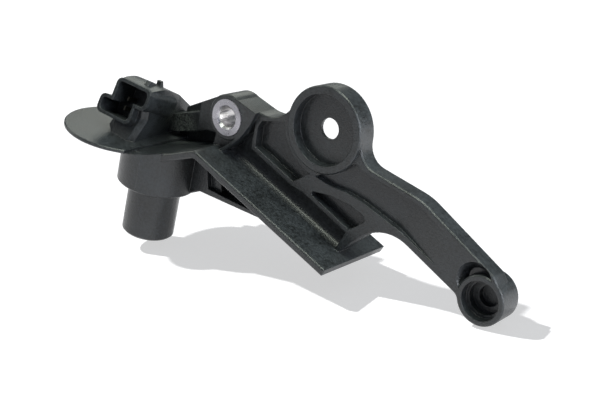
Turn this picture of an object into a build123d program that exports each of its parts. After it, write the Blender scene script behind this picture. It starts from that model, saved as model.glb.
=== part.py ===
from build123d import *
import math
import os

# Crankshaft position sensor on a one-piece plastic bracket. Millimetres.
# Origin: where the sensing nose leaves the lower face of its collar.
# +Z runs up the nose towards the connector, +X along the bracket towards its end eye,
# and -Y is the side on which the plate shows its pockets.

# Sensing nose, collar and round cover
nose_radius = 9.0
nose_length = 18.5
collar_radius = 13.4
disc_radius = 20.5
disc_centre_x = -18.6
disc_thickness = 1.3
disc_top = 12.8
disc_bottom = disc_top - disc_thickness
disc_fold_x = -3.8

collar_seam_angle = -77.5
collar_seam_height = 0.15

# Plate of the bracket, between its front and back faces
plate_front = 2.5
plate_back = 11.0
arm_back = 8.7
pocket_floor = 5.8
channel_floor = 4.5
foot_floor = 7.4
foot_step = 4.4
plate_foot_x = 74.5
rim = 1.8
rib_width = 1.0
cove_radius = 3.4
edge_break = 0.4

# Fixing sleeve
sleeve_x = 24.6
sleeve_z = 33.2
sleeve_radius = 6.0
sleeve_bore_radius = 3.3
sleeve_front = 0.1
sleeve_back = plate_back + 0.2
sleeve_chamfer = 0.7
sleeve_boss_radius = sleeve_radius + 1.6
sleeve_boss_front = sleeve_front + 0.3

# Large round boss with its thin floor
boss_x = 61.0
boss_z = 42.7
boss_radius = 13.8
boss_front = 1.3
boss_recess_radius = boss_radius - 2.5
boss_hole_radius = 3.35
boss_floor_front = 5.0
boss_floor_back = boss_floor_front + 1.2
rear_slope_run = 9.0

# Eye at the end of the arm
eye_x = 125.4
arm_reach = 50.9
eye_z = 14.5
eye_radius = 7.7
eye_recess_radius = eye_radius - 1.6
eye_step_radius = eye_radius - 2.6
eye_step = 5.6
eye_hole_radius = 3.2
eye_floor = 8.2
eye_bore_end = 10.4
eye_back = 11.6
scoop_radius = 5.8
scoop_depth = 3.2
eye_notch_angle = -14.0

# Curved shield that leaves the cover, crosses under the plate and runs down past it
shield_front = -10.0
shield_back = 22.8
ramp_back = 27.0
shield_thickness = 2.3
ramp_knee = (9.0, 15.6)
ridge = (21.9, 22.3)
shield_end = (80.0, 6.2)
ramp_start_z = disc_bottom + 0.3
ramp_end_x = 14.0

# Connector socket, on a rim plane that leans back
socket_lean = 18.0
socket_origin = (-16.0, -10.0, disc_top)
socket_wall = 1.1
socket_depth = 9.5
socket_shell_length = 15.0
upper_lobe = (3.0, 16.2, 15.8, 7.6)
lower_lobe = (-1.5, 9.3, 15.9, 6.8)
lobe_corner = 2.2

hump_back = 22.6

# Bridge from the hump to the sleeve boss
bridge_front = 12.0
bridge_back = 19.0
bridge_wall = 2.0
joint_front = 8.0

# Coil, magnet and pole piece inside the nose
nose_wall = 1.2
nose_side_wall = 1.8
pole_radius = 2.2
bobbin_tube_radius = pole_radius + 0.9
bobbin_radius = nose_radius - nose_side_wall
bobbin_flange = 1.0
winding_radius = bobbin_radius - 0.6
coil_bottom = -nose_length + nose_wall
coil_height = 12.0
magnet_room = 3.2
magnet_radius = bobbin_radius - magnet_room
magnet_height = 5.0

# Terminals: height in the socket, run behind its floor, X of the column, level of the step, Y of the foot
lead_size = 0.7
blade_height = 1.5
pin_reach = 5.0
pin_x = -1.8
foot_x = -bobbin_radius + 1.6
terminal_routes = {
    "upper_terminal": (13.7, 1.6, -11.2, 3.2, 1.4),
    "lower_terminal": (10.2, 0.85, -9.6, 1.0, -1.4),
}


def flat(*corners):
    # A straight-edged outline that faces up, whichever way round its corners are named
    shape = Polygon(*corners, align=None)
    if shape.face().normal_at().Z < 0:
        shape = Polygon(*reversed(corners), align=None)
    return shape


def near(sketch, x, z):
    # The corner of a flat outline nearest to a point
    return sketch.vertices().sort_by_distance((x, z, 0))[0]


def slab(sketch, front, back):
    # An outline drawn in X and Z, made solid between two Y planes
    return extrude(Plane.XZ.offset(-back) * sketch, amount=back - front, dir=(0, -1, 0))


def post(x, z, radius, front, back):
    # A round solid along Y
    return slab(Pos(x, z) * Circle(radius), front, back)


def upright(radius, low, high, x=0.0, y=0.0):
    # A round solid along Z
    return Pos(x, y, low) * extrude(Circle(radius), amount=high - low, dir=(0, 0, 1))


def arm_x(x):
    # Place of a point of the arm, which is drawn for arm_reach and follows the eye when that moves
    return plate_foot_x + (x - plate_foot_x) * (eye_x - plate_foot_x) / arm_reach


def round_corners(sketch, corners):
    # Rounds each named corner of an outline to its own radius
    for x, z, radius in corners:
        sketch = fillet(near(sketch, x, z), radius)
    return sketch


def shield_level(x):
    # Height of the shield's upper face to the right of its ridge
    slope = (shield_end[1] - ridge[1]) / (shield_end[0] - ridge[0])
    return ridge[1] + slope * (x - ridge[0])


def web_fillet(centre, radius, start, end, blend, side):
    # Material that rounds the inner corner where a straight edge runs into a round boss.
    # side is 1 for an arc on the left of the edge as it runs from start to end, -1 for its right.
    middle = Vector(*centre)
    along = (Vector(*end) - Vector(*start)).normalized()
    away = Vector(-along.Y, along.X) * side
    reach = (middle - Vector(*start)).dot(along)
    aside = (middle - Vector(*start)).dot(away)
    corner = Vector(*start) + along * (reach - math.sqrt(radius ** 2 - aside ** 2) + 0.2)
    travel = reach - math.sqrt((radius + blend) ** 2 - (aside - blend) ** 2)
    foot = Vector(*start) + along * travel
    hub = foot + away * blend
    touch = middle + (hub - middle) * (radius / (radius + blend))
    inside = [v - away * 0.2 for v in (foot, corner)]
    wedge = flat(*[(v.X, v.Y) for v in (foot, hub, touch, inside[1], inside[0])])
    return wedge - Pos(hub.X, hub.Y) * Circle(blend)


# Outer edge of the plate, its bosses and its arm

def plate_outline():
    foot = (plate_foot_x, shield_level(plate_foot_x) - 2.0)
    under_arm = (arm_x(88.6), 23.1)
    over_arm = (arm_x(99.3), 35.1)
    edge = flat(
        (20.0, 33.0), (20.66, 39.37), (26.25, 40.46), (52.0, 35.5), (boss_x, 31.0),
        (72.0, 37.7), over_arm, (eye_x + 1.8, eye_z + 9.0), (eye_x + 6.1, eye_z + 4.4),
        (eye_x - 6.0, eye_z - 2.3), under_arm,
        foot, (43.0, 4.7), (17.3, 3.2), (12.0, 0.0),
        (0.0, 0.0), (0.0, 12.0), (19.0, 20.0),
    )
    rounded = [(*under_arm, 14.0), (*over_arm, 20.0), (eye_x + 1.8, eye_z + 9.0, 3.0)]
    edge = round_corners(edge, rounded)
    edge += Pos(sleeve_x, sleeve_z) * Circle(sleeve_boss_radius)
    edge += Pos(boss_x, boss_z) * Circle(boss_radius)
    edge += Pos(eye_x, eye_z) * Circle(eye_radius)
    boss = (boss_x, boss_z)
    eye = (eye_x, eye_z)
    edge += web_fillet(boss, boss_radius, (26.25, 40.46), (52.0, 35.5), 11.0, 1)
    edge += web_fillet(boss, boss_radius, over_arm, (72.0, 37.7), 7.0, -1)
    edge += web_fillet(eye, eye_radius, under_arm, (eye_x - 6.0, eye_z - 2.3), 3.0, -1)
    return edge


# Hollows in the front of the plate. Thin ribs stay between them.

def strap_pocket():
    hollow = flat(
        (35.8, 33.5), (36.4, 27.3), (53.6, 22.2), (60.0, 28.0), (50.0, 40.0), (45.2, 39.4), (37.0, 36.4),
    )
    return hollow - Pos(boss_x, boss_z) * Circle(boss_radius + rim)


def groove():
    # The long hollow that runs down between the ribs and the shield
    right = plate_foot_x - 0.5
    left = 24.0
    hollow = flat(
        (34.6, 36.2), (35.0, 26.1), (53.2, 20.7), (57.8, 20.4), (76.8, 14.6),
        (right, shield_level(right) - 1.0), (left, shield_level(left) - 1.0), (26.0, 22.4), (32.6, 30.4),
    )
    return round_corners(hollow, [(35.0, 26.1, 1.0)])


def arm_hollow():
    # The triangular hollow under the lower rim of the arm
    tip = (arm_x(83.5), 21.8)
    low = (arm_x(77.6), 15.8)
    hollow = flat((59.0, 21.6), (68.2, 23.6), (arm_x(76.0), 23.6), tip, low)
    return round_corners(hollow, [(59.0, 21.6, 0.8), (*tip, 1.5), (*low, 1.5)])


def arm_channel():
    # The long hollow of the arm. Its floor rises to the front and fades out before the eye.
    under = (arm_x(94.6), 23.2)
    over = (arm_x(98.6), 33.5)
    boss_side = (arm_x(78.5), 35.4)
    outline = flat(
        (61.2, 27.2), (67.4, 26.5), (73.1, 26.9), (arm_x(79.0), 26.4), (arm_x(87.0), 24.8), under,
        (arm_x(110.5), 17.9), (arm_x(112.4), 27.8), over, boss_side, (74.6, 37.0),
    )
    outline = round_corners(outline, [(*under, 9.0), (*over, 18.0), (*boss_side, 5.0)])
    outline -= Pos(boss_x, boss_z) * Circle(boss_radius)
    fade = arm_x(109.0)
    floor = [(50.0, channel_floor), (arm_x(92.0), channel_floor), (fade, plate_front)]
    side = flat((50.0, 0.0), *floor, (fade, 0.0))
    return slab(outline, 0.0, plate_back) & extrude(side, amount=60.0, dir=(0, 0, 1))


def eye_scoop():
    # The round hollow that sinks towards the ring of the eye
    front = Plane(origin=(eye_x - 3.4, plate_front, eye_z + 4.9), z_dir=(0, 1, 0))
    return Solid.make_cone(scoop_radius, scoop_radius - 2.4, scoop_depth, front)


def foot_hollow(left):
    # The hollow under the shield, from an upright edge to its far tip
    low = (left + 1.9, 5.7)
    return flat((left, 12.0), low, (64.0, 6.6), (60.0, 9.0), (26.0, 17.6), (left, 17.2))


def saddle_wall():
    # The thin curved wall that hugs the lower right side of the fixing sleeve
    steps = [(-1.6, -12.7), (5.9, -4.8), (10.2, 4.8)]
    line = ThreePointArc(*[(sleeve_x + across, sleeve_z + up) for across, up in steps])
    return trace(line, line_width=rib_width)


def cove(start_x, end_x):
    # Rounded inner corner between the floor of the groove and the shield
    start = Vector(start_x, pocket_floor, shield_level(start_x))
    run = Vector(end_x, pocket_floor, shield_level(end_x)) - start
    corner = Plane(origin=start, x_dir=(0, -1, 0), z_dir=run.normalized())
    reach = cove_radius
    below = flat((-1.0, 1.0), (reach, 1.0), (reach, 0.0), (0.0, -reach), (-1.0, -reach))
    profile = below - Pos(reach, -reach) * Circle(reach)
    return extrude(corner * profile, amount=run.length, dir=run.normalized())


def rear_relief():
    # From the large boss to the eye the plate is thinner behind
    left = boss_x - boss_radius
    far = eye_x + 2 * eye_radius
    shape = flat(
        (left - rear_slope_run, plate_back), (left, arm_back), (far, arm_back),
        (far, plate_back + 1.0), (left - rear_slope_run, plate_back + 1.0),
    )
    return extrude(shape, amount=80.0, dir=(0, 0, 1))


def soft_front(body, from_x=-100.0):
    # Breaks the edges of the foremost face that lie to the right of from_x
    front = body.edges().group_by(Axis.Y)[0]
    return chamfer(front.filter_by(lambda edge: edge.center().X > from_x), edge_break)


def sleeve_shoulder():
    # The raised face between the sleeve boss and the saddle wall
    right = (sleeve_x + 5.9, sleeve_z - 4.8)
    return flat((sleeve_x, sleeve_z), (26.25, 40.46), (35.6, 38.66), (34.0, 33.6), right)


def plate():
    body = soft_front(slab(plate_outline(), plate_front, plate_back)) - rear_relief()
    body += soft_front(post(boss_x, boss_z, boss_radius, boss_front, arm_back))
    body += slab(sleeve_shoulder(), sleeve_boss_front, plate_back)
    body += soft_front(post(sleeve_x, sleeve_z, sleeve_boss_radius, sleeve_boss_front, plate_back))
    for hollow in (strap_pocket(), groove(), arm_hollow()):
        body -= slab(hollow, plate_front - 1.0, pocket_floor)
    body -= slab(foot_hollow(19.0), plate_front - 1.0, foot_step)
    body -= slab(foot_hollow(23.4), plate_front - 1.0, foot_floor)
    body -= arm_channel()
    body -= eye_scoop()
    body += soft_front(post(eye_x, eye_z, eye_radius, plate_front, eye_back))
    return body + slab(saddle_wall(), sleeve_boss_front, pocket_floor + 0.5)


# Shield: a bent strip seen from the front, as wide as the bracket is deep

def shield_shape():
    under_knee = (ramp_knee[0] + 0.8, ramp_knee[1] - shield_thickness)
    under_ridge = (ridge[0] + 0.2, ridge[1] - shield_thickness - 0.3)
    shape = flat(
        (-9.0, disc_bottom + 0.2), (disc_fold_x, ramp_start_z), ramp_knee, ridge, shield_end,
        (shield_end[0] - 0.9, shield_end[1] - shield_thickness), under_ridge, under_knee,
        (disc_fold_x, disc_bottom), (-9.0, disc_bottom - 0.2),
    )
    return round_corners(shape, [(*ramp_knee, 14.0), (*ridge, 3.5), (*under_ridge, 2.5)])


def shield():
    shape = shield_shape()
    ramp = shape & Pos(ramp_end_x, 0) * Rectangle(60.0, 60.0, align=(Align.MAX, Align.CENTER))
    strip = soft_front(slab(shape, shield_front, shield_back), ramp_knee[0] - 3.0)
    return strip + slab(ramp, shield_back - 1.0, ramp_back)


# Nose, collar and cover

def collar():
    body = upright(collar_radius, 0.0, 26.0)
    body = chamfer(body.edges().group_by(Axis.Z)[0], edge_break)
    ceiling = [(-14.0, disc_bottom), (disc_fold_x, disc_bottom), (18.0, 19.0)]
    under = flat((-14.0, -1.0), *ceiling, (18.0, -1.0))
    body &= slab(under, -20.0, 20.0)
    # Line left by the two halves of the mould
    turn = math.radians(collar_seam_angle)
    seam_radius = 2 * collar_seam_height
    seat = collar_radius - seam_radius + collar_seam_height
    seam = upright(seam_radius, 1.0, disc_bottom, seat * math.cos(turn), seat * math.sin(turn))
    return body + seam


def sensing_end():
    nose = upright(nose_radius, -nose_length, 1.0)
    nose = chamfer(nose.edges().sort_by(Axis.Z)[0], 0.7)
    cover = upright(disc_radius, disc_bottom, disc_top, disc_centre_x)
    cover = chamfer(cover.edges().filter_by(GeomType.CIRCLE), 0.3)
    behind = (Align.CENTER, Align.MIN, Align.MIN)
    tab = Pos(-10.0, 0, disc_bottom) * Box(14.0, ramp_back, disc_thickness, align=behind)
    left_part = (Align.MAX, Align.CENTER, Align.CENTER)
    trimmed = Pos(disc_fold_x, 0, 0) * Box(60.0, 60.0, 60.0, align=left_part)
    return nose + collar() + ((cover + tab) & trimmed)


# Connector

def socket_plane(depth=0.0):
    lean = math.radians(socket_lean)
    outward = Vector(0, -math.cos(lean), math.sin(lean))
    origin = Vector(*socket_origin) - outward * depth
    return Plane(origin=origin, x_dir=(1, 0, 0), z_dir=outward)


def lobe(values, inset):
    x, height, wide, tall = values
    corner = lobe_corner - inset * 0.5
    return Pos(x, height) * RectangleRounded(wide - 2 * inset, tall - 2 * inset, corner)


def socket_section(inset=0.0):
    # Two lobes side by side, joined where they overlap, as wide as both walls allow
    section = lobe(upper_lobe, inset) + lobe(lower_lobe, inset)
    left = upper_lobe[0] - upper_lobe[2] / 2 + inset
    right = lower_lobe[0] + lower_lobe[2] / 2 - inset
    middle = (upper_lobe[1] - upper_lobe[3] / 2 + lower_lobe[1] + lower_lobe[3] / 2) / 2
    section += Pos((left + right) / 2, middle) * Rectangle(right - left, lower_lobe[3])
    return section


def into_socket(sketch, start, end):
    # A section of the socket between two depths behind its rim
    return extrude(socket_plane(start) * sketch, amount=end - start, dir=-socket_plane().z_dir)


def socket_shell():
    return into_socket(socket_section(), 0.0, socket_shell_length)


def socket_hollow():
    return into_socket(socket_section(socket_wall), -1.0, socket_depth)


def hump():
    # Housing behind the socket, wider at its foot, with a crown that slopes down to the back
    base = disc_top - 0.5
    waist = 21.0
    foot = flat(
        (-24.0, -2.0), (-17.5, -7.0), (-10.0, -7.5), (-7.9, -5.8), (-8.3, 2.0), (-9.4, 14.0),
        (-9.4, hump_back), (-24.0, hump_back),
    )
    chest = flat(
        (-21.0, 0.0), (-20.0, -3.0), (-8.0, -4.0), (-5.8, -2.8), (-6.3, 4.0), (-8.2, 14.0),
        (-8.9, hump_back), (-21.0, hump_back),
    )
    body = loft([Pos(0, 0, base) * foot, Pos(0, 0, waist) * chest], ruled=True)
    body += Pos(0, 0, waist) * extrude(chest, amount=14.0, dir=(0, 0, 1))
    side = flat(
        (-8.0, base), (-8.0, 19.0), (-3.0, 31.2), (4.4, 31.0), (13.9, 27.2), (hump_back, 21.0),
        (hump_back, base),
    )
    side = fillet(near(side, 4.4, 31.0), 14.0)
    crown = extrude(Plane.YZ.offset(-30.0) * side, amount=30.0, dir=(1, 0, 0))
    return body & crown


# Latch stops on top of the socket housing

def latch_stops():
    ramp = flat((-0.4, 30.4), (1.5, 32.5), (4.5, 31.2), (5.2, 29.0))
    rib = flat((6.2, 28.0), (6.5, 31.9), (7.6, 31.9), (8.6, 28.0))
    return [extrude(Plane.YZ.offset(-12.8) * shape, amount=1.8, dir=(1, 0, 0)) for shape in (ramp, rib)]


def bridge():
    bar = flat(
        (-12.0, 12.8), (-5.3, 15.0), (-2.2, 16.2), (5.3, 19.1), (8.2, 21.0), (14.0, 24.6), (14.0, 29.0),
        (3.7, 25.6), (-3.2, 22.6), (-7.1, 20.7), (-12.0, 19.6),
    )
    joint = flat((7.0, 20.8), (6.9, 30.9), (15.7, 36.9), (21.0, 36.0), (21.0, 24.0), (11.5, 22.6))
    wall = flat((-8.0, 11.0), (-6.1, 23.2), (8.4, 33.0), (14.0, 34.0), (14.0, 17.5), (-3.0, 11.0))
    body = slab(bar, bridge_front, bridge_back) + slab(joint, joint_front, bridge_back)
    return body + slab(wall, bridge_back - bridge_wall, bridge_back)


# Inserts that the moulding closes on

def fixing_sleeve():
    sleeve = post(sleeve_x, sleeve_z, sleeve_radius, sleeve_front, sleeve_back)
    sleeve -= post(sleeve_x, sleeve_z, sleeve_bore_radius, sleeve_front - 1.0, sleeve_back + 1.0)
    bore = sleeve.edges().filter_by(GeomType.CIRCLE).filter_by(lambda e: e.radius < sleeve_radius - 1.0)
    return chamfer(bore, sleeve_chamfer)


def coil_bobbin():
    low = coil_bottom
    top = coil_bottom + coil_height
    spool = upright(bobbin_tube_radius, low, top)
    spool += upright(bobbin_radius, low, low + bobbin_flange)
    spool += upright(bobbin_radius, top - bobbin_flange, top)
    return spool - upright(pole_radius, low - 1.0, top + 1.0)


def coil_winding():
    low = coil_bottom + bobbin_flange
    top = coil_bottom + coil_height - bobbin_flange
    return upright(winding_radius, low, top) - upright(bobbin_tube_radius, low - 1.0, top + 1.0)


def pole_piece():
    return upright(pole_radius, coil_bottom, coil_bottom + coil_height)


def magnet():
    low = coil_bottom + coil_height
    return upright(magnet_radius, low, low + magnet_height)


def terminal(height, run, column_x, level, foot_y):
    # A blade that stands in the socket, goes through its floor and steps down to the coil
    start = socket_plane(pin_reach).from_local_coords(Vector(pin_x, height, 0))
    bend = socket_plane(socket_depth + run).from_local_coords(Vector(pin_x, height, 0))
    coil_top = coil_bottom + coil_height
    route = Polyline(
        tuple(start), tuple(bend), (column_x, bend.Y, bend.Z), (column_x, bend.Y, level),
        (column_x, foot_y, level), (foot_x, foot_y, level), (foot_x, foot_y, coil_top),
    )
    section = Plane(origin=route @ 0, x_dir=(1, 0, 0), z_dir=route % 0) * Rectangle(lead_size, lead_size)
    lead = sweep(section, path=route, transition=Transition.RIGHT)
    face = Pos(pin_x, height) * Rectangle(lead_size, blade_height)
    blade = into_socket(face, pin_reach, socket_depth + 0.5)
    return lead + blade


def inserts():
    pieces = {
        "fixing_sleeve": fixing_sleeve(),
        "coil_bobbin": coil_bobbin(),
        "coil_winding": coil_winding(),
        "pole_piece": pole_piece(),
        "magnet": magnet(),
    }
    for name, values in terminal_routes.items():
        pieces[name] = terminal(*values)
    return pieces


def eye_notch():
    # Small pointed mark in the outer wall of the eye
    turn = math.radians(eye_notch_angle)
    seat = (eye_x + eye_radius * math.cos(turn), eye_z + eye_radius * math.sin(turn))
    return post(*seat, 0.35, 7.2, 9.6)


def moulding(pieces):
    body = plate() + shield() + cove(sleeve_x + 1.0, plate_foot_x + 0.5)
    body += sensing_end() + hump() + socket_shell() + bridge()
    for stop in latch_stops():
        body += stop
    body -= socket_hollow()
    body -= post(boss_x, boss_z, boss_recess_radius, boss_front - 1.0, boss_floor_front)
    body -= post(boss_x, boss_z, boss_recess_radius, boss_floor_back, plate_back + 1.0)
    body -= post(boss_x, boss_z, boss_hole_radius, 0.0, plate_back)
    body -= post(eye_x, eye_z, eye_recess_radius, plate_front - 1.0, eye_step)
    body -= post(eye_x, eye_z, eye_step_radius, plate_front - 1.0, eye_floor)
    body -= post(eye_x, eye_z, eye_hole_radius, 0.0, eye_bore_end)
    body -= eye_notch()
    body -= post(sleeve_x, sleeve_z, sleeve_radius, sleeve_boss_front - 5.0, plate_back + 2.0)
    for name, piece in pieces.items():
        if name != "fixing_sleeve":
            body -= piece
    return body


if __name__ == "__main__":
    os.makedirs("parts", exist_ok=True)
    nodes = inserts()
    nodes["sensor_moulding"] = moulding(nodes)
    for name, piece in nodes.items():
        export_step(piece, f"parts/{name}.step")
        print(name, len(piece.solids()), round(piece.volume, 1))
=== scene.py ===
import bpy
import math
from mathutils import Euler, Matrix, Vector

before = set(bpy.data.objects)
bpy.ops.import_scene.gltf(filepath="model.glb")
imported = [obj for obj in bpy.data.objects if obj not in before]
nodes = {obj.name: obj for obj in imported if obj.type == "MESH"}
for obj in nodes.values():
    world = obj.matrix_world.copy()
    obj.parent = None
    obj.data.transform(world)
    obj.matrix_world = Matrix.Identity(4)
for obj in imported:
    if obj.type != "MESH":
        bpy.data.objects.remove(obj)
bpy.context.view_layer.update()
print("frame loaded with", len(nodes), "nodes")

# Small helpers


def linear(hexColour):
    # sRGB hex to the linear colour that a shader socket takes
    channels = [int(hexColour[i:i + 2], 16) / 255 for i in (1, 3, 5)]
    return [c / 12.92 if c <= 0.04045 else ((c + 0.055) / 1.055) ** 2.4 for c in channels] + [1.0]


def addNode(tree, kind, settings=None, inputs=None):
    # One shader node with its settings, and its inputs as values or as links from other nodes.
    # A colour mix takes its two colours at inputs 6 and 7 and gives the result at output 2.
    node = tree.nodes.new(kind)
    for name, value in (settings or {}).items():
        setattr(node, name, value)
    for name, value in (inputs or {}).items():
        if isinstance(value, bpy.types.NodeSocket):
            tree.links.new(value, node.inputs[name])
        else:
            node.inputs[name].default_value = value
    return node


def newMaterial(name):
    # An empty material, with its tree, its output node and the place on the object that it colours
    material = bpy.data.materials.new(name)
    material.use_nodes = True
    tree = material.node_tree
    tree.nodes.clear()
    output = addNode(tree, "ShaderNodeOutputMaterial")
    place = addNode(tree, "ShaderNodeTexCoord").outputs["Object"]
    return material, tree, output, place


def perMetre(millimetres):
    # Texture scale whose features are about this many millimetres across
    return 1000.0 / millimetres


def dress(nodeName, material):
    obj = nodes[nodeName]
    obj.data.materials.clear()
    obj.data.materials.append(material)
    for face in obj.data.polygons:
        face.material_index = 0


# Materials. Texture sizes are in millimetres, places and depths in metres.

# Grain, cloud, speck and smear each have a size, a detail and a roughness of the pattern
mouldedPlastic = {
    "dark": "#151718", "light": "#33373a", "colourRange": (0.75, 1.25),
    "grain": (0.5, 2.0, 0.6), "cloud": (9.0, 5.0, 0.65), "speck": (0.9, 2.0, 0.5),
    "grainDepth": 0.0003, "grainStrength": 0.5,
    "roughness": 0.4, "roughnessSpread": 0.07, "roughnessRange": (0.7, 1.3),
    "edgeRadius": 0.0004, "edgeSamples": 6, "refraction": 1.53, "sheen": 0.3, "sheenRoughness": 0.2,
    "smearPlace": (-0.0025, 0.012, 0.0185), "smearReach": 0.0075, "smearCore": 0.5,
    "smearColour": "#6c706c", "smear": (0.7, 4.0, 0.7), "crumbRange": (0.42, 0.62),
}


def addSmear(tree, place, values):
    # Where the housing was closed the plastic smeared and tore: a rough, paler patch on the bridge
    apart = addNode(tree, "ShaderNodeVectorMath", {"operation": "DISTANCE"}, {
        0: place, 1: values["smearPlace"]})
    near = addNode(tree, "ShaderNodeMapRange", {}, {
        "Value": apart.outputs["Value"], "From Min": values["smearReach"] * values["smearCore"],
        "From Max": values["smearReach"], "To Min": 1.0, "To Max": 0.0})
    size, detail, rough = values["smear"]
    torn = addNode(tree, "ShaderNodeTexNoise", {}, {
        "Vector": place, "Scale": perMetre(size), "Detail": detail, "Roughness": rough})
    few, many = values["crumbRange"]
    crumbs = addNode(tree, "ShaderNodeMapRange", {}, {
        "Value": torn.outputs["Fac"], "From Min": few, "From Max": many})
    amount = addNode(tree, "ShaderNodeMath", {"operation": "MULTIPLY"}, {
        0: near.outputs["Result"], 1: crumbs.outputs["Result"]})
    return amount.outputs["Value"]


def makeMouldedPlastic():
    # Glass-filled nylon, black, shot into a steel mould: satin, with a fine eroded grain that breaks up
    # the sheen, slow clouds where the glass floats up to the skin, and edges that the mould left round
    values = mouldedPlastic
    material, tree, output, place = newMaterial("glassFilledNylon")
    pattern = {}
    for name in ("grain", "cloud", "speck"):
        size, detail, rough = values[name]
        noise = addNode(tree, "ShaderNodeTexNoise", {}, {
            "Vector": place, "Scale": perMetre(size), "Detail": detail, "Roughness": rough})
        pattern[name] = noise.outputs["Fac"]
    mottle = addNode(tree, "ShaderNodeMath", {"operation": "ADD"}, {
        0: pattern["cloud"], 1: pattern["speck"]})
    low, high = values["colourRange"]
    shade = addNode(tree, "ShaderNodeMapRange", {}, {
        "Value": mottle.outputs["Value"], "From Min": low, "From Max": high})
    colour = addNode(tree, "ShaderNodeMix", {"data_type": "RGBA"}, {
        "Factor": shade.outputs["Result"], 6: linear(values["dark"]), 7: linear(values["light"])})
    smear = addSmear(tree, place, values)
    smeared = addNode(tree, "ShaderNodeMix", {"data_type": "RGBA"}, {
        "Factor": smear, 6: colour.outputs[2], 7: linear(values["smearColour"])})
    low, high = values["roughnessRange"]
    roughness = addNode(tree, "ShaderNodeMapRange", {}, {
        "Value": mottle.outputs["Value"], "From Min": low, "From Max": high,
        "To Min": values["roughness"] - values["roughnessSpread"],
        "To Max": values["roughness"] + values["roughnessSpread"]})
    softEdge = addNode(tree, "ShaderNodeBevel", {"samples": values["edgeSamples"]}, {
        "Radius": values["edgeRadius"]})
    height = addNode(tree, "ShaderNodeMath", {"operation": "ADD"}, {0: pattern["grain"], 1: smear})
    bump = addNode(tree, "ShaderNodeBump", {}, {
        "Height": height.outputs["Value"], "Strength": values["grainStrength"],
        "Distance": values["grainDepth"], "Normal": softEdge.outputs["Normal"]})
    shader = addNode(tree, "ShaderNodeBsdfPrincipled", {}, {
        "Base Color": smeared.outputs[2], "Roughness": roughness.outputs["Result"],
        "IOR": values["refraction"], "Normal": bump.outputs["Normal"], "Coat Weight": values["sheen"],
        "Coat Roughness": values["sheenRoughness"], "Coat Normal": softEdge.outputs["Normal"]})
    tree.links.new(shader.outputs["BSDF"], output.inputs["Surface"])
    return material


# The sleeve's second colour is a painted reflection, laid on the bore in streaks
turnedSteel = {
    "centre": (0.0246, 0.0, 0.0332), "colour": "#b4b2b8", "paintedBoreGlint": "#dddcd8", "boreReach": 0.0036,
    "ringPitch": 0.22, "ringDepth": 0.00002, "ringStrength": 0.4,
    "streakSize": 0.9, "streakDetail": 4.0, "streakStretch": (1.0, 0.08, 1.0),
    "roughness": 0.3, "smoother": 0.08, "rougher": 0.1, "roughnessRange": (0.3, 0.7),
}


def makeTurnedSteel():
    # Zinc-plated steel sleeve, turned and cropped: grey and satin on its face, where the tool left fine
    # rings. Its bore carries a painted reflection: a paler colour, in streaks along it
    values = turnedSteel
    material, tree, output, place = newMaterial("turnedSteel")
    fromCentre = addNode(tree, "ShaderNodeVectorMath", {"operation": "SUBTRACT"}, {
        0: place, 1: values["centre"]})
    # The sleeve's axis runs along Y, so the distance from it leaves Y out
    flatten = addNode(tree, "ShaderNodeVectorMath", {"operation": "MULTIPLY"}, {
        0: fromCentre.outputs["Vector"], 1: (1.0, 0.0, 1.0)})
    radius = addNode(tree, "ShaderNodeVectorMath", {"operation": "LENGTH"}, {0: flatten.outputs["Vector"]})
    turns = addNode(tree, "ShaderNodeMath", {"operation": "MULTIPLY"}, {
        0: radius.outputs["Value"], 1: perMetre(values["ringPitch"]) * 2 * math.pi})
    rings = addNode(tree, "ShaderNodeMath", {"operation": "SINE"}, {0: turns.outputs["Value"]})
    stretch = addNode(tree, "ShaderNodeMapping", {"vector_type": "POINT"}, {
        "Vector": place, "Scale": values["streakStretch"]})
    streak = addNode(tree, "ShaderNodeTexNoise", {}, {
        "Vector": stretch.outputs["Vector"], "Scale": perMetre(values["streakSize"]),
        "Detail": values["streakDetail"]})
    height = addNode(tree, "ShaderNodeMath", {"operation": "ADD"}, {
        0: rings.outputs["Value"], 1: streak.outputs["Fac"]})
    bump = addNode(tree, "ShaderNodeBump", {}, {
        "Height": height.outputs["Value"], "Strength": values["ringStrength"],
        "Distance": values["ringDepth"]})
    # Painted reflection: inside the bore the colour is mixed towards a paler one, in streaks, to stand in
    # for light caught in the bore
    paintedGlintInBore = addNode(tree, "ShaderNodeMath", {"operation": "LESS_THAN"}, {
        0: radius.outputs["Value"], 1: values["boreReach"]})
    shade = addNode(tree, "ShaderNodeMath", {"operation": "MULTIPLY"}, {
        0: paintedGlintInBore.outputs["Value"], 1: streak.outputs["Fac"]})
    colour = addNode(tree, "ShaderNodeMix", {"data_type": "RGBA"}, {
        "Factor": shade.outputs["Value"], 6: linear(values["colour"]), 7: linear(values["paintedBoreGlint"])})
    low, high = values["roughnessRange"]
    roughness = addNode(tree, "ShaderNodeMapRange", {}, {
        "Value": streak.outputs["Fac"], "From Min": low, "From Max": high,
        "To Min": values["roughness"] - values["smoother"],
        "To Max": values["roughness"] + values["rougher"]})
    shader = addNode(tree, "ShaderNodeBsdfPrincipled", {}, {
        "Base Color": colour.outputs[2], "Roughness": roughness.outputs["Result"], "Metallic": 1.0,
        "Normal": bump.outputs["Normal"]})
    tree.links.new(shader.outputs["BSDF"], output.inputs["Surface"])
    return material


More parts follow.
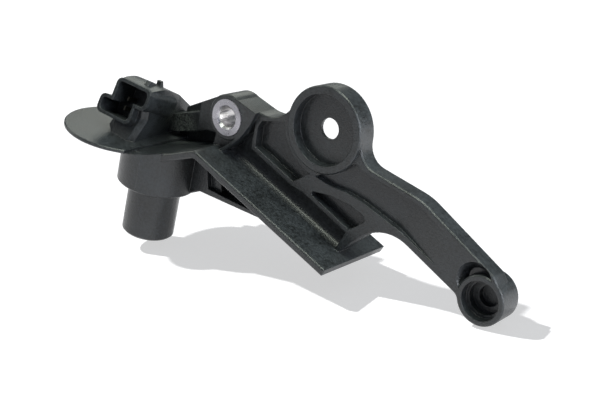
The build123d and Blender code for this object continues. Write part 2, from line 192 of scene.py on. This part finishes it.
# The pieces that hardly show: two colours with a mottle of a real size between them
innerSkins = {
    # Stamped brass, tinned by dipping: dull grey with darker patches where the tin is thin
    "tinnedBrass": {"light": "#77746c", "dark": "#5c584c", "size": 1.2, "roughness": 0.42, "metal": 1.0},
    # Natural nylon, moulded: waxy and off-white, a little cloudy
    "bobbinNylon": {"light": "#cfcabb", "dark": "#c2bba7", "size": 3.0, "roughness": 0.5, "metal": 0.0},
    # Copper wire in a clear baked enamel: reddish, in narrow lighter and darker turns
    "enamelledCopper": {"light": "#a8562e", "dark": "#7f3d20", "size": 0.4, "roughness": 0.35, "metal": 1.0},
    # Soft iron, cropped and annealed: grey with a dull blue-brown skin
    "softIron": {"light": "#8a8a88", "dark": "#6f6d6a", "size": 1.5, "roughness": 0.5, "metal": 1.0},
    # Sintered magnet, ground: dark grey with a fine pitted grain
    "sinteredMagnet": {"light": "#55565a", "dark": "#434448", "size": 0.6, "roughness": 0.55, "metal": 1.0},
}
innerMottle = {"detail": 3.0, "roughnessSpread": 0.06, "roughnessRange": (0.3, 0.7)}


def makeInnerSkin(name):
    # Each skin is described beside its values. The lighter parts of the mottle are the smoother ones.
    values = innerSkins[name]
    material, tree, output, place = newMaterial(name)
    mottle = addNode(tree, "ShaderNodeTexNoise", {}, {
        "Vector": place, "Scale": perMetre(values["size"]), "Detail": innerMottle["detail"]})
    colour = addNode(tree, "ShaderNodeMix", {"data_type": "RGBA"}, {
        "Factor": mottle.outputs["Fac"], 6: linear(values["dark"]), 7: linear(values["light"])})
    low, high = innerMottle["roughnessRange"]
    roughness = addNode(tree, "ShaderNodeMapRange", {}, {
        "Value": mottle.outputs["Fac"], "From Min": low, "From Max": high,
        "To Min": values["roughness"] + innerMottle["roughnessSpread"],
        "To Max": values["roughness"] - innerMottle["roughnessSpread"]})
    shader = addNode(tree, "ShaderNodeBsdfPrincipled", {}, {
        "Base Color": colour.outputs[2], "Roughness": roughness.outputs["Result"],
        "Metallic": values["metal"]})
    tree.links.new(shader.outputs["BSDF"], output.inputs["Surface"])
    return material


dress("sensor_moulding", makeMouldedPlastic())
dress("fixing_sleeve", makeTurnedSteel())
tinned = makeInnerSkin("tinnedBrass")
dress("upper_terminal", tinned)
dress("lower_terminal", tinned)
dress("coil_bobbin", makeInnerSkin("bobbinNylon"))
dress("coil_winding", makeInnerSkin("enamelledCopper"))
dress("pole_piece", makeInnerSkin("softIron"))
dress("magnet", makeInnerSkin("sinteredMagnet"))
print("materials on")

# Table, world and lamps. The table is tilted so that the shadow falls to the lower right. The rim of
# the eye is just above it, and the end of the nose hangs about 3 mm above it.

table = {
    "height": -0.0236, "riseX": 0.231, "riseY": 0.096, "size": 1.6,
    "colour": "#cfcfcf", "bounceColour": "#7c8086", "glow": 0.57, "roughness": 0.9,
}
sky = {"colour": "#e9f1ff", "strength": 0.15, "mirrored": 0.13}
shadowLamp = {"travel": (1.425, 0.349, -1.0), "strength": 3.4, "angle": 1.6}
softLamps = {
    "overheadLamp": {"place": (0.05, -0.12, 0.64), "size": 0.4, "power": 3.5, "colour": "#f7fff0"},
    "rightLamp": {"place": (0.66, -0.05, 0.3), "size": 0.35, "power": 4.3, "colour": "#f2f6ff"},
    "highRightLamp": {"place": (0.45, 0.15, 0.5), "size": 0.35, "power": 1.0, "colour": "#f7fff0"},
    "frontLamp": {"place": (0.22, -0.42, 0.28), "size": 0.3, "power": 0.03, "colour": "#d9e8ff"},
    "farLeftLamp": {"place": (-0.4, 0.48, 0.35), "size": 0.35, "power": 0.5, "colour": "#fbfff4"},
    "leftLamp": {"place": (-0.55, -0.15, 0.3), "size": 0.35, "power": 0.8, "colour": "#fbfff4"},
}
softLampTarget = (0.05, 0.0, 0.01)
# A card behind the sensor that only brightens the sleeve's bore
boreCard = {"place": (-0.1, 0.35, 0.04), "size": 0.3, "power": 9.0, "colour": "#ffffff"}
white = linear("#ffffff")


def makeTable():
    # A matt pale table that the camera and the reflections see as white and the sensor sees as grey
    bpy.ops.object.select_all(action="DESELECT")
    bpy.ops.mesh.primitive_plane_add(size=table["size"], location=(0, 0, 0))
    floor = bpy.context.object
    floor.name = "studioTable"
    for vertex in floor.data.vertices:
        vertex.co.z = table["height"] + table["riseX"] * vertex.co.x + table["riseY"] * vertex.co.y
    material, tree, output = newMaterial("paleTable")[:3]
    ray = addNode(tree, "ShaderNodeLightPath")
    seen = addNode(tree, "ShaderNodeMath", {"operation": "MAXIMUM"}, {
        0: ray.outputs["Is Camera Ray"], 1: ray.outputs["Is Glossy Ray"]})
    glow = addNode(tree, "ShaderNodeMath", {"operation": "MULTIPLY"}, {
        0: seen.outputs["Value"], 1: table["glow"]})
    colour = addNode(tree, "ShaderNodeMix", {"data_type": "RGBA"}, {
        "Factor": ray.outputs["Is Diffuse Ray"], 6: linear(table["colour"]),
        7: linear(table["bounceColour"])})
    shader = addNode(tree, "ShaderNodeBsdfPrincipled", {}, {
        "Base Color": colour.outputs[2], "Roughness": table["roughness"], "Specular IOR Level": 0.0,
        "Emission Color": white, "Emission Strength": glow.outputs["Value"]})
    tree.links.new(shader.outputs["BSDF"], output.inputs["Surface"])
    floor.data.materials.append(material)
    return floor


def makeWorld():
    # White to the camera, and a dim cool sky to everything else
    world = bpy.data.worlds.new("studioWorld")
    bpy.context.scene.world = world
    world.use_nodes = True
    tree = world.node_tree
    tree.nodes.clear()
    ray = addNode(tree, "ShaderNodeLightPath")
    mirrored = addNode(tree, "ShaderNodeMapRange", {}, {
        "Value": ray.outputs["Is Glossy Ray"], "To Min": sky["strength"], "To Max": sky["mirrored"]})
    strength = addNode(tree, "ShaderNodeMapRange", {}, {
        "Value": ray.outputs["Is Camera Ray"], "To Min": mirrored.outputs["Result"], "To Max": 1.0})
    shade = addNode(tree, "ShaderNodeMix", {"data_type": "RGBA"}, {
        "Factor": ray.outputs["Is Camera Ray"], 6: linear(sky["colour"]), 7: white})
    background = addNode(tree, "ShaderNodeBackground", {}, {
        "Color": shade.outputs[2], "Strength": strength.outputs["Result"]})
    output = addNode(tree, "ShaderNodeOutputWorld")
    tree.links.new(background.outputs["Background"], output.inputs["Surface"])


def lightOnly(lamp, pieces):
    # The lamp falls on these pieces and on nothing else
    lit = bpy.data.collections.new("litBy" + lamp.name)
    for piece in pieces:
        lit.objects.link(piece)
    lamp.light_linking.receiver_collection = lit


def addLamp(name, values, target):
    # A round soft lamp that points at its target
    data = bpy.data.lights.new(name, "AREA")
    data.energy = values["power"]
    data.color = linear(values["colour"])[:3]
    data.shape = "DISK"
    data.size = values["size"]
    lamp = bpy.data.objects.new(name, data)
    bpy.context.scene.collection.objects.link(lamp)
    lamp.location = values["place"]
    lamp.rotation_euler = (Vector(target) - Vector(values["place"])).to_track_quat("-Z", "Y").to_euler()
    return lamp


def addShadowLamp():
    # A low sun from the left that throws the grey shadow
    data = bpy.data.lights.new("shadowLamp", "SUN")
    data.energy = shadowLamp["strength"]
    data.angle = math.radians(shadowLamp["angle"])
    lamp = bpy.data.objects.new("shadowLamp", data)
    bpy.context.scene.collection.objects.link(lamp)
    lamp.rotation_euler = Vector(shadowLamp["travel"]).to_track_quat("-Z", "Y").to_euler()
    return lamp


tableTop = makeTable()
makeWorld()
lightOnly(addShadowLamp(), [tableTop])
for name, values in softLamps.items():
    lightOnly(addLamp(name, values, softLampTarget), list(nodes.values()))
lightOnly(addLamp("boreCard", boreCard, turnedSteel["centre"]), [nodes["fixing_sleeve"]])
print("table and lamps in place")

# Camera at the photograph's place

view = {
    "place": (0.24402, -0.28273, 0.15903), "turn": (66.9316, -11.7658, 38.1116), "lens": 70.244,
    "sensorWidth": 36.0,
}
cameraData = bpy.data.cameras.new("photoCamera")
cameraData.lens = view["lens"]
cameraData.sensor_width = view["sensorWidth"]
camera = bpy.data.objects.new("photoCamera", cameraData)
bpy.context.scene.collection.objects.link(camera)
camera.location = view["place"]
camera.rotation_euler = Euler([math.radians(a) for a in view["turn"]], "XYZ")
bpy.context.scene.camera = camera
bpy.context.scene.view_settings.view_transform = "Standard"
print("camera in place")
